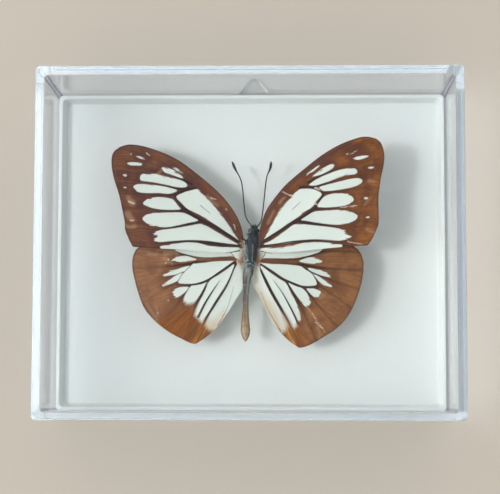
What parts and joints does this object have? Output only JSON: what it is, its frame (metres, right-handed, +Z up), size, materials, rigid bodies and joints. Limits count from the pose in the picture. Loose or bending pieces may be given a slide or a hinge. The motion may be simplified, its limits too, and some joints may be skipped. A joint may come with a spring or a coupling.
{
  "type": "mounted butterfly in clear display case",
  "caption": "Dried butterfly set with spread wings over a white tray, under a clear box cover, with a wire ring at the back to hang it by.",
  "frame": {"origin": "under the middle of the whole part, ring included, on the plane that the tray stands on", "axes": "+Z up through the clear face of the case, +Y from the insect's tail to its head, +X to the insect's right as seen from above"},
  "size_m": [0.115, 0.101, 0.032],
  "materials": {
    "clear_plastic": "clear polished polystyrene",
    "white_plastic": "white moulded plastic with a satin face",
    "hanger_steel": "nickel-plated steel",
    "white_foam": "fine closed-cell foam",
    "pin_steel": "plain steel",
    "forewing_scales": "brown wing scales with white patches and dark veins",
    "hindwing_scales": "tawny wing scales with white rays and dark veins",
    "body_hair": "short blue-grey hair over dark skin",
    "abdomen_skin": "dry ringed skin, grey-brown",
    "horn": "dark horn of feelers and legs",
    "eye": "dark faceted eye"
  },
  "bodies": {
    "case": {"cover": "clear_plastic", "tray": "white_plastic", "hanger_strap": "hanger_steel", "hanger_rivet": "hanger_steel", "foam_block": "white_foam", "pin": "pin_steel", "head": "body_hair", "thorax": "body_hair", "abdomen": "abdomen_skin", "eye_left": "eye", "eye_right": "eye", "feeler_left": "horn", "feeler_right": "horn", "leg_front_left": "horn", "leg_front_right": "horn", "leg_middle_left": "horn", "leg_middle_right": "horn", "leg_hind_left": "horn", "leg_hind_right": "horn", "forewing_left": "forewing_scales", "forewing_right": "forewing_scales", "hindwing_left": "hindwing_scales", "hindwing_right": "hindwing_scales"},
    "hanger": {"hanger_ring": "hanger_steel"}
  },
  "joints": [
    {"name": "ring_swing", "type": "hinge", "parent": "case", "child": "hanger", "pos_m": [0.00085, 0.03875, 0.00115], "axis": [-1, 0, 0], "range_deg": [0, 170]}
  ]
}
